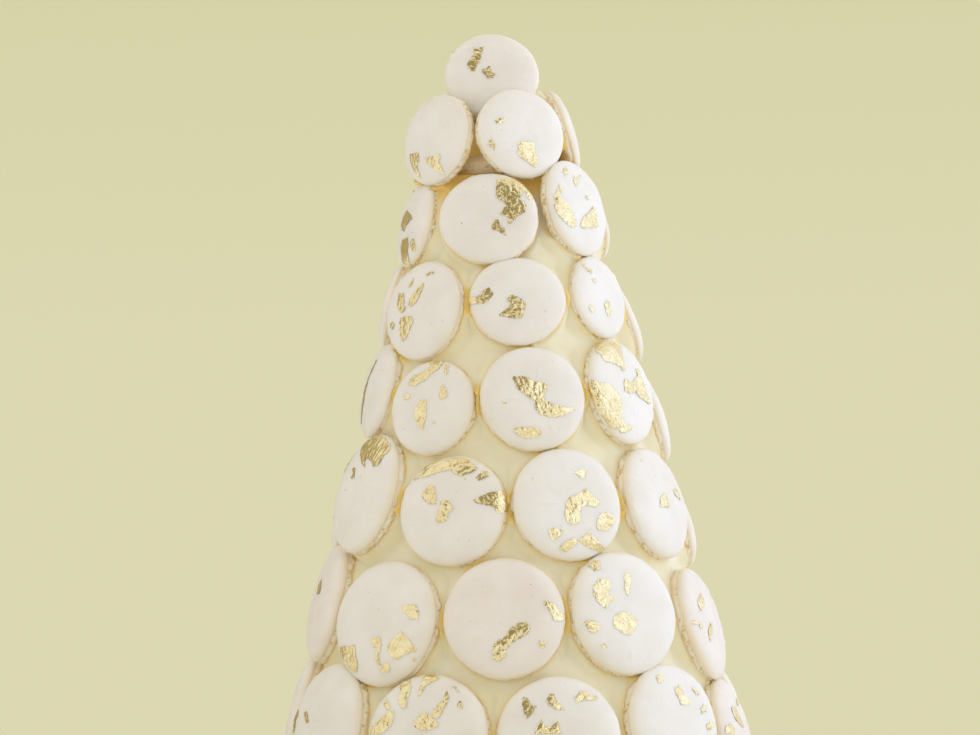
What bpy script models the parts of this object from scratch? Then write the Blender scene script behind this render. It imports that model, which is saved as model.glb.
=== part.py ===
"""A macaron tower: macaron shells stuck in rings on an iced cone stand, with flakes of gold leaf on them.

Units are metres, +Z is up, and the front is -Y. The origin is the middle of the stand's underside.
A bearing is measured round the tower from the front, in degrees, positive towards +X.
"""

import math
import random
from collections import namedtuple

import bmesh
import bpy
from mathutils import Matrix, Vector

MM = 0.001

# The stand: a round foot plate and a tall cone, all of one piece
PLATE_RADIUS = 125 * MM
PLATE_THICKNESS = 8 * MM
PLATE_EDGE_RADIUS = 2 * MM
CONE_FOOT_RADIUS = 97 * MM
CONE_HALF_ANGLE = math.radians(13.7)
CONE_HEIGHT = 274 * MM
CONE_SHOULDER = (4 * MM, 7 * MM)
STAND_SIDES = 40

# The mound of icing on the cone's flat top, which the highest ring leans on
MOUND_CENTRE_X = -4.2 * MM
MOUND_NECK_RADIUS = 24.5 * MM
MOUND_RADIUS = 26.2 * MM
MOUND_HEIGHT = 45 * MM
MOUND_BULGE = 11 * MM
MOUND_SINK = 2 * MM
MOUND_SIDES = 24
MOUND_RINGS = 4
DRUM_SIDES = 24
TOP_RING_RADIUS = 27.8 * MM

# Every shell: a crowned cap over a ruffled foot, as shares of its radius and its thickness
THICKNESS_PER_DIAMETER = 0.222
SHELL_PROFILE = (
    (0.0, 1.0),
    (0.62, 0.93),
    (0.91, 0.74),
    (1.0, 0.50),
    (0.96, 0.36),
    (0.995, 0.20),
    (0.96, 0.0),
    (0.0, 0.0),
)
SHELL_SIDES = 16
FRILL_DEPTH = 0.012
LUMP_DEPTH = 0.02
GAP = 0.3 * MM

# Gold leaf: raised patches on the cap
FOIL_HEIGHT = 0.4 * MM
FOIL_TAPER = 0.86
FLAKES_PER_SHELL = (1, 3)

# A front shell: its bearing, its rise above its ring's height, its width, its height, and how many
# degrees its lower edge is kicked out from the cone
Front = namedtuple("Front", "bearing rise width height kick", defaults=(0.0,))
# A ring: the height of its shells' middles above the stand's underside, how many shells it has, those
# whose places are given, and the height and diameter of the rest, which are spaced evenly round the back
Ring = namedtuple("Ring", "height count back_height back_diameter front")
RINGS = (
    Ring(0.0425, 11, 0.0412, 0.0485, (
        Front(-93, 0.0045, 0.0500, 0.0505, 1),
        Front(-59, 0.0015, 0.0540, 0.0545, 1),
        Front(-23.5, 0.0, 0.0540, 0.0522),
        Front(10.5, -0.0015, 0.0520, 0.0519),
        Front(44.5, 0.0, 0.0510, 0.0528),
        Front(75.5, -0.0080, 0.0460, 0.0500, 1),
    )),
    Ring(0.0910, 9, 0.0892, 0.0470, (
        Front(-78.5, 0.0045, 0.0500, 0.0520, 2),
        Front(-41, -0.0020, 0.0540, 0.0539),
        Front(-3, 0.0, 0.0507, 0.0511),
        Front(34, 0.0, 0.0515, 0.0532),
        Front(72.5, -0.0080, 0.0450, 0.0498, 2),
        Front(123, -0.0050, 0.0475, 0.0470, 1),
    )),
    Ring(0.1370, 9, 0.1366, 0.0450, (
        Front(-60, 0.0060, 0.0472, 0.0525, 5),
        Front(-20.5, -0.0008, 0.0472, 0.0468),
        Front(19.5, 0.0007, 0.0476, 0.0484),
        Front(59.5, -0.0008, 0.0473, 0.0484, 2),
        Front(106, -0.0110, 0.0440, 0.0440, 3),
    )),
    Ring(0.1825, 8, 0.1812, 0.0425, (
        Front(-73.5, 0.0055, 0.0393, 0.0417, 2),
        Front(-33, -0.0023, 0.0409, 0.0412),
        Front(10, 0.0005, 0.0444, 0.0453),
        Front(55, 0.0019, 0.0439, 0.0460, 1),
        Front(98, -0.0088, 0.0425, 0.0430, 4),
    )),
    Ring(0.2240, 7, 0.2230, 0.0392, (
        Front(-97, 0.0010, 0.0385, 0.0390, 1),
        Front(-45.5, -0.0019, 0.0434, 0.0434),
        Front(6, 0.0010, 0.0410, 0.0384),
        Front(56.5, 0.0020, 0.0376, 0.0362),
        Front(101, -0.0090, 0.0380, 0.0372, 6),
    )),
    Ring(0.2620, 6, 0.2605, 0.0375, (
        Front(-70.5, -0.0018, 0.0366, 0.0379, 1),
        Front(-9.3, -0.0009, 0.0426, 0.0401),
        Front(53.3, 0.0030, 0.0393, 0.0425, 1),
    )),
)
TOP_RING = Ring(0.2970, 5, 0.2996, 0.0378, (
    Front(-49.1, -0.0004, 0.0400, 0.0400),
    Front(24.3, 0.0010, 0.0398, 0.0398),
    Front(97.1, 0.0030, 0.0377, 0.0377, 3),
))

# The shell on the very top, which leans back on the mound
CROWN_DIAMETER = 41.2 * MM
CROWN_LEAN = math.radians(24)
CROWN_CENTRE = (-3.3 * MM, -4.5 * MM, 323.5 * MM)

# The shell that lies flat on the cone's top, under the mound
FLAT_DIAMETER = 42 * MM
FLAT_FORWARD = 6.5 * MM

# How unevenly the rings are laid, as the largest departures either way
SCATTER = {"bearing": 0.8, "rise": 0.8 * MM, "diameter": 0.6 * MM, "kick": 2.0}

ICING = ("icing", (0.90, 0.86, 0.66), 0.5, 0.0)
SHELL = ("almond_shell", (0.88, 0.85, 0.79), 0.6, 0.0)
GOLD = ("gold_leaf", (0.83, 0.65, 0.33), 0.3, 1.0)


def clear_scene():
    for obj in list(bpy.data.objects):
        bpy.data.objects.remove(obj)


def collection(name):
    made = bpy.data.collections.new(name)
    bpy.context.scene.collection.children.link(made)
    return made


def material(name, colour, roughness, metallic):
    """A Principled BSDF of one colour, made once for each name."""
    found = bpy.data.materials.get(name)
    if found:
        return found
    made = bpy.data.materials.new(name)
    made.use_nodes = True
    shader = made.node_tree.nodes["Principled BSDF"]
    shader.inputs["Base Color"].default_value = (*colour, 1.0)
    shader.inputs["Roughness"].default_value = roughness
    shader.inputs["Metallic"].default_value = metallic
    return made


def turned(name, profile, sides, where):
    """An object whose profile of (radius, height) points, from the top down, is turned round +Z."""
    mesh = bpy.data.meshes.new(name)
    mesh.from_pydata([(r, 0, z) for r, z in profile], [(i, i + 1) for i in range(len(profile) - 1)], [])
    obj = bpy.data.objects.new(name, mesh)
    where.objects.link(obj)
    screw = obj.modifiers.new("turn", "SCREW")
    screw.steps = screw.render_steps = sides
    screw.use_merge_vertices = True
    screw.merge_threshold = 0.00001
    return obj


def applied(obj):
    """The object's mesh with its modifiers applied."""
    bpy.context.view_layer.update()
    graph = bpy.context.evaluated_depsgraph_get()
    return bpy.data.meshes.new_from_object(obj.evaluated_get(graph))


def smooth(mesh):
    mesh.shade_smooth()
    mesh.set_sharp_from_angle(angle=math.radians(50))


# The stand

def cone_radius(height):
    """The cone's radius at this height above the stand's underside."""
    return CONE_FOOT_RADIUS - (height - PLATE_THICKNESS) * math.tan(CONE_HALF_ANGLE)


def stand_profile():
    """The plate with a rounded edge, and the cone with a sloped shoulder on it, from the top down."""
    top = PLATE_THICKNESS + CONE_HEIGHT
    inset, drop = CONE_SHOULDER
    edge = [
        (
            PLATE_RADIUS - PLATE_EDGE_RADIUS * (1 - math.sin(turn)),
            PLATE_THICKNESS - PLATE_EDGE_RADIUS * (1 - math.cos(turn)),
        )
        for turn in (math.radians(45 * i) for i in range(3))
    ]
    cone = [(0, top), (cone_radius(top) - inset, top), (cone_radius(top - drop), top - drop)]
    return [*cone, (CONE_FOOT_RADIUS, PLATE_THICKNESS), *edge, (PLATE_RADIUS, 0), (0, 0)]


def mound_radius(height):
    """The mound's radius at this height above the cone's top: a neck, a bulge and a domed crown."""
    if height <= MOUND_BULGE:
        return MOUND_NECK_RADIUS
    share = (height - MOUND_BULGE) / (MOUND_HEIGHT - MOUND_BULGE)
    return MOUND_RADIUS * math.sqrt(max(0.0, 1 - share ** 1.9))


def mound_profile():
    base = PLATE_THICKNESS + CONE_HEIGHT
    crown = [
        MOUND_BULGE + (MOUND_HEIGHT - MOUND_BULGE) * math.sin(math.radians(90 * i / MOUND_RINGS))
        for i in range(MOUND_RINGS, 0, -1)
    ]
    outline = [(mound_radius(height), base + height) for height in crown]
    outline.append((MOUND_RADIUS, base + MOUND_BULGE))
    outline.append((MOUND_NECK_RADIUS, base + MOUND_BULGE - 1 * MM))
    outline.append((MOUND_NECK_RADIUS, base - MOUND_SINK))
    outline.append((0, base - MOUND_SINK))
    return outline


def drum(name, diameter, thickness, helpers):
    """A helper drum with room for a shell of this diameter, standing on z = 0."""
    radius = diameter / 2 + 2 * GAP
    return turned(name, [(0, thickness), (radius, thickness), (radius, 0), (0, 0)], DRUM_SIDES, helpers)


def add_boolean(target, operation, helper):
    """Adds a Boolean with a helper solid, which is kept out of the finished part."""
    helper.hide_render = True
    helper.display_type = "WIRE"
    step = target.modifiers.new(helper.name, "BOOLEAN")
    step.operation = operation
    step.object = helper


def make_stand(parts, helpers):
    """The plate, the cone and the mound in one solid, with a slot and a seat for two of the shells."""
    stand = turned("stand", stand_profile(), STAND_SIDES, parts)
    mound = turned("mound", mound_profile(), MOUND_SIDES, helpers)
    mound.location.x = MOUND_CENTRE_X
    slot = drum("slot", FLAT_DIAMETER, FLAT_DIAMETER * THICKNESS_PER_DIAMETER + 2 * GAP, helpers)
    slot.location = (0, -FLAT_FORWARD, PLATE_THICKNESS + CONE_HEIGHT)
    seat_cut = drum("seat", CROWN_DIAMETER, CROWN_DIAMETER, helpers)
    turn = facing(0, CROWN_LEAN)
    seat_cut.location = Vector(CROWN_CENTRE) - turn.col[2] * GAP
    seat_cut.rotation_euler = turn.to_euler()
    add_boolean(mound, "DIFFERENCE", slot)
    add_boolean(mound, "DIFFERENCE", seat_cut)
    add_boolean(stand, "UNION", mound)
    stand.data.materials.append(material(*ICING))


# The shells

def shell_blank(helpers):
    """A shell of radius 1 and thickness 1, flat side down, which every shell is made from."""
    pattern = turned("pattern", SHELL_PROFILE, SHELL_SIDES, helpers)
    blank = applied(pattern)
    bpy.data.objects.remove(pattern)
    return blank


def uneven(point, width, height, draw):
    """A point of the blank at its real size, with the foot's frill and the cap's slight lumps."""
    around = math.atan2(point.y, point.x)
    out = math.hypot(point.x, point.y)
    lobes = draw["lobe"] * math.cos(2 * around + draw["turn"]) + draw["lobe"] * math.cos(3 * around - draw["turn"])
    swell = 1 + lobes
    if out > 0.5 and point.z < SHELL_PROFILE[4][1] + 0.01:
        step = round(around / (2 * math.pi) * SHELL_SIDES)
        swell += FRILL_DEPTH * (1 if step % 2 else -1)
    lump = 1 + draw["lump"] * math.sin(3 * point.x + draw["turn"]) * math.cos(2.3 * point.y - draw["turn"])
    thickness = THICKNESS_PER_DIAMETER * (width + height) / 2
    return Vector((point.x * swell * width / 2, point.y * swell * height / 2, point.z * lump * thickness))


def raise_flakes(mesh_edit, rng):
    """Raises a few patches of the cap as gold leaf: each is a face, or two that share a side."""
    cap = [face for face in mesh_edit.faces if face.normal.z > 0.45 and len(face.verts) == 4]
    rng.shuffle(cap)
    taken = set()
    for _ in range(rng.randint(*FLAKES_PER_SHELL)):
        cap = [face for face in cap if face.is_valid and not taken.intersection(face.verts)]
        if not cap:
            return
        patch = cap[:1]
        if rng.random() < 0.5:
            beside = {other for edge in cap[0].edges for other in edge.link_faces}
            patch += [face for face in cap[1:] if face in beside][:1]
        taken.update(lift_patch(mesh_edit, patch))


def lift_patch(mesh_edit, patch):
    """Extrudes the patch by the foil's height, draws its top in a little, and gives its corners."""
    outward = sum((face.normal for face in patch), Vector()).normalized()
    outline = {corner for face in patch for corner in face.verts}
    raised = bmesh.ops.extrude_face_region(mesh_edit, geom=patch)["geom"]
    corners = [item for item in raised if isinstance(item, bmesh.types.BMVert)]
    middle = sum((corner.co for corner in corners), Vector()) / len(corners)
    for corner in corners:
        corner.co = middle + (corner.co - middle) * FOIL_TAPER + outward * FOIL_HEIGHT
    for item in raised:
        if isinstance(item, bmesh.types.BMFace):
            item.material_index = 1
    bmesh.ops.delete(mesh_edit, geom=patch, context="FACES")
    return outline.union(corners)


def make_shell(name, blank, width, height, rng, parts):
    """One shell at the origin, its flat side on z = 0 and its cap towards +Z."""
    draw = {
        "lobe": rng.uniform(0.0, LUMP_DEPTH / 3),
        "lump": rng.uniform(-LUMP_DEPTH, LUMP_DEPTH),
        "turn": rng.uniform(0, 2 * math.pi),
    }
    mesh = blank.copy()
    mesh.name = name
    for vertex in mesh.vertices:
        vertex.co = uneven(vertex.co, width, height, draw)
    edit = bmesh.new()
    edit.from_mesh(mesh)
    edit.normal_update()
    raise_flakes(edit, rng)
    edit.normal_update()
    edit.to_mesh(mesh)
    edit.free()
    mesh.materials.append(material(*SHELL))
    mesh.materials.append(material(*GOLD))
    smooth(mesh)
    shell = bpy.data.objects.new(name, mesh)
    parts.objects.link(shell)
    return shell


def facing(bearing, lean):
    """The turn that points +Z outwards at this bearing, raised by lean, and +Y up the slope."""
    outward = Vector((math.sin(bearing), -math.cos(bearing), 0))
    normal = outward * math.cos(lean) + Vector((0, 0, math.sin(lean)))
    up = Vector((0, 0, math.cos(lean))) - outward * math.sin(lean)
    across = up.cross(normal)
    return Matrix((across, up, normal)).transposed()


def seat(shell, radius_at, centre_x, bearing, lean, height, size):
    """Places the shell at this bearing and height, so that its flat side just clears what carries it."""
    turn = facing(bearing, lean)
    outward = Vector((math.sin(bearing), -math.cos(bearing), 0))
    start = Vector((centre_x, 0, height)) + outward * radius_at(height)
    rim = [
        start + turn @ Vector((math.cos(a) * share * size[0] / 2, math.sin(a) * share * size[1] / 2, 0))
        for a in (math.radians(15 * i) for i in range(24))
        for share in (0.0, 0.5, 0.95)
    ]
    shortfall = max(
        radius_at(p.z) - math.hypot(p.x - centre_x, p.y) for p in rim
    )
    shell.location = start + outward * (shortfall + GAP / math.cos(lean))
    shell.rotation_euler = turn.to_euler()


def spaced(ring):
    """Every shell of a ring: those in front as listed, then the rest, evenly round the back."""
    last = ring.front[-1].bearing
    behind = ring.count - len(ring.front)
    step = (360 - last + ring.front[0].bearing) / (behind + 1)
    shells = [*ring.front]
    rise = ring.back_height - ring.height
    size = ring.back_diameter
    shells += [Front(last + step * (i + 1), rise, size, size) for i in range(behind)]
    return shells


def scattered(place, rng):
    """The place with a little added to it by chance, for a shell that no list gives."""
    size = place.width + rng.uniform(-1, 1) * SCATTER["diameter"]
    return Front(
        place.bearing + rng.uniform(-1, 1) * SCATTER["bearing"],
        place.rise + rng.uniform(-1, 1) * SCATTER["rise"],
        size,
        size + rng.uniform(-1, 1) * SCATTER["diameter"],
        rng.uniform(0, 1) * SCATTER["kick"],
    )


def make_ring(number, ring, radius_at, centre_x, blank, parts):
    """The shells of one ring, named by their ring and their place in it, from the left round the front."""
    rng = random.Random(number)
    for i, place in enumerate(spaced(ring)):
        if i >= len(ring.front):
            place = scattered(place, rng)
        shell = make_shell(f"macaron_{number}_{i + 1}", blank, place.width, place.height, rng, parts)
        lean = CONE_HALF_ANGLE + math.radians(place.kick)
        size = (place.width, place.height)
        seat(shell, radius_at, centre_x, math.radians(place.bearing), lean, ring.height + place.rise, size)


def top_radius(height):
    """The radius that the highest ring is laid on, which follows the cone's slope at the mound's bulge."""
    bulge = PLATE_THICKNESS + CONE_HEIGHT + MOUND_BULGE
    return TOP_RING_RADIUS - (height - bulge) * math.tan(CONE_HALF_ANGLE)


def make_crown(blank, parts):
    """The shell on the very top, tilted back with its cap to the front."""
    shell = make_shell("macaron_top", blank, CROWN_DIAMETER, CROWN_DIAMETER, random.Random(0), parts)
    shell.location = CROWN_CENTRE
    shell.rotation_euler = facing(0, CROWN_LEAN).to_euler()


def make_flat(blank, parts):
    """The shell that lies flat on the cone's top, cap up, with its rim showing between the top ring's shells."""
    shell = make_shell("macaron_flat", blank, FLAT_DIAMETER, FLAT_DIAMETER, random.Random(99), parts)
    shell.location = (0, -FLAT_FORWARD, PLATE_THICKNESS + CONE_HEIGHT + GAP)


def main():
    clear_scene()
    parts = collection("macaron_tower")
    helpers = collection("helpers")
    make_stand(parts, helpers)
    blank = shell_blank(helpers)
    for number, ring in enumerate(RINGS, start=1):
        make_ring(number, ring, cone_radius, 0.0, blank, parts)
    make_ring(len(RINGS) + 1, TOP_RING, top_radius, MOUND_CENTRE_X, blank, parts)
    make_flat(blank, parts)
    make_crown(blank, parts)
    bpy.data.meshes.remove(blank)


main()
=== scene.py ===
"""The looks of a macaron tower: crisp almond shells, an iced cone and crinkled gold leaf.

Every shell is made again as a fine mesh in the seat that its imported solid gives. The icing fills the wedges
behind the shells, and the gold leaf is one mesh of thin ragged patches that follow the shells' domes.
"""

import math
from collections import namedtuple

import bpy
import numpy as np
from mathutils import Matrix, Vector
from mathutils.geometry import delaunay_2d_cdt


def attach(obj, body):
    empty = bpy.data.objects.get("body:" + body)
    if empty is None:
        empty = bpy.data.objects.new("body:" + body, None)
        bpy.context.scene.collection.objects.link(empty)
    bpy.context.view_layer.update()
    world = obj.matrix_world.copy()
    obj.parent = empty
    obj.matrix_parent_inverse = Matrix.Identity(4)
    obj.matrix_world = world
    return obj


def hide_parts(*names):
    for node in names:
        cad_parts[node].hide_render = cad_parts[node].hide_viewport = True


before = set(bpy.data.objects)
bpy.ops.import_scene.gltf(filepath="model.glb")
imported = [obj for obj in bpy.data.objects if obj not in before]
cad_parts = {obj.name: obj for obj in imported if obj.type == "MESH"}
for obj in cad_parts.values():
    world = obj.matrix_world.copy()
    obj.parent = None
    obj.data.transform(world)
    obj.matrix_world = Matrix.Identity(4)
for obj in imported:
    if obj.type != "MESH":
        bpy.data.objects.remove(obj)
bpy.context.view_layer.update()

MM = 0.001
UP = np.array([0.0, 0.0, 1.0])

# A shell's outline for a radius of 1, as (radius, height): the dome, its rolled edge, then the ruffled foot
THICKNESS_PER_RADIUS = 0.444
DOME_START = 0.45
DOME_POWER = 3.3
DOME_STEPS = 60
SLOPE_STEP = 0.02
FOOT_OUTLINE = (
    (0.99, 0.40), (0.975, 0.37), (0.975, 0.33), (0.99, 0.27), (0.995, 0.18), (0.985, 0.08), (0.962, 0.0),
)
SHELL_COLUMNS = 176
# The rings of the flat back, as shares of its rim
BACK_RINGS = (0.93, 0.8, 0.6, 0.4, 0.2)
# How the outline departs from an ellipse, as (lobes round it, the largest share of the radius)
LOBES = ((2, 0.008), (3, 0.008), (5, 0.004), (8, 0.0025))
# How deep a shell's relief is
FOOT_RUFFLE = 0.4 * MM
FOOT_PIT = 0.45 * MM
DOME_LUMP = 0.2 * MM
DOME_DENT = 0.14 * MM
DOME_PIMPLE = 0.38 * MM
SHELL_WARP = 0.12 * MM
BACK_CRUMB = 0.12 * MM
# How much wider a shell is than its solid, whose foot and neighbours leave it this room
SHELL_GROWTH = 1.02
SOLID_FRILL = 1.007

# The iced cone, as the solid has it
PLATE_THICKNESS = 8 * MM
CONE_FOOT_RADIUS = 97 * MM
CONE_SLOPE = math.tan(math.radians(13.7))
CONE_TOP = 282 * MM
MOUND_CENTRE_X = -4.2 * MM
MOUND_NECK_RADIUS = 24.5 * MM
MOUND_RADIUS = 26.2 * MM
MOUND_BULGE = 293 * MM
MOUND_TOP = 327 * MM
MOUND_POWER = 1.9

# The icing's mesh, how thick its smears, its swellings round the shells and its lip at the top are, how much
# room it leaves at a shell's rim and back, and how far in the slot for the flat shell goes
ICING_COLUMNS = 350
ICING_STEP = 1.25 * MM
ICING_SWELL = 0.7 * MM
ICING_GRAIN = 0.12 * MM
ICING_REACH = 6 * MM
ICING_COLLAR = 1.9 * MM
ICING_SQUEEZE = 3.6 * MM
ICING_LIP = 1.3 * MM
ICING_LIMIT = 7 * MM
ICING_GAP = 0.3 * MM
SLOT_RADIUS = 19 * MM
# The icing leaves out a back that it faces at less than this cosine, or that lies further off than this
BACK_SLANT = 0.25
CROWN_SLANT = 0.05
BACK_REACH = 15 * MM
# How much painted golden shade the hollow at the cone's top gets, the most painted shade the icing takes
# anywhere, and how strongly the icing's painted glow shines where it meets the shells
PAINTED_HOLLOW_SHADE = 1.5
PAINTED_SHADE_MAX = 1.7
PAINTED_SEAM_GLOW = 0.07

# The foot plate's outline in millimetres, as (radius, height), from its flat top round to its underside
PLATE_OUTLINE = (
    (99, 8.0), (118, 7.9), (121.5, 8.0), (123.6, 7.6), (124.7, 6.6), (125, 5.2), (124.8, 3.8), (124, 2.2),
    (122.6, 0.9), (120.5, 0.2), (117, 0.0), (112, 0.0), (110.5, 0.5), (109, 1.6),
)
PLATE_COLUMNS = 160
PLATE_CREASE = math.radians(50)

# Gold leaf
LEAF_GRAIN = 0.5 * MM
LEAF_EDGE = 0.8 * MM
LEAF_TEAR = 0.3 * MM
LEAF_LIFT = 0.1 * MM
LEAF_HEM = 1.0 * MM
LEAF_CURL = 0.1 * MM
LEAF_CRINKLE = 0.06 * MM
# The leaf's flat facets, as (width, rise)
FACETS = ((3.0 * MM, 1.0 * MM), (1.3 * MM, 0.26 * MM))
# How much more torn and crinkled the leaf is on the shells that face +X, the power by which its facets follow
# that, and how much towards +X a shell faces where it starts and where it is full
LEAF_WEAR = 1.0
FACET_WEAR = 0.6
WORN_SIDE = (0.3, 0.7)
# How many scraps and crumbs lie on a shell by chance, from the first number to below the second, and their
# widths in shell radii
SCRAPS_PER_SHELL = (2, 6)
SCRAP_WIDTH = (0.12, 0.5)
CRUMBS_PER_SHELL = (2, 7)
CRUMB_WIDTH = (0.015, 0.045)
SCRAP_CORNERS = 7

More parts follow.
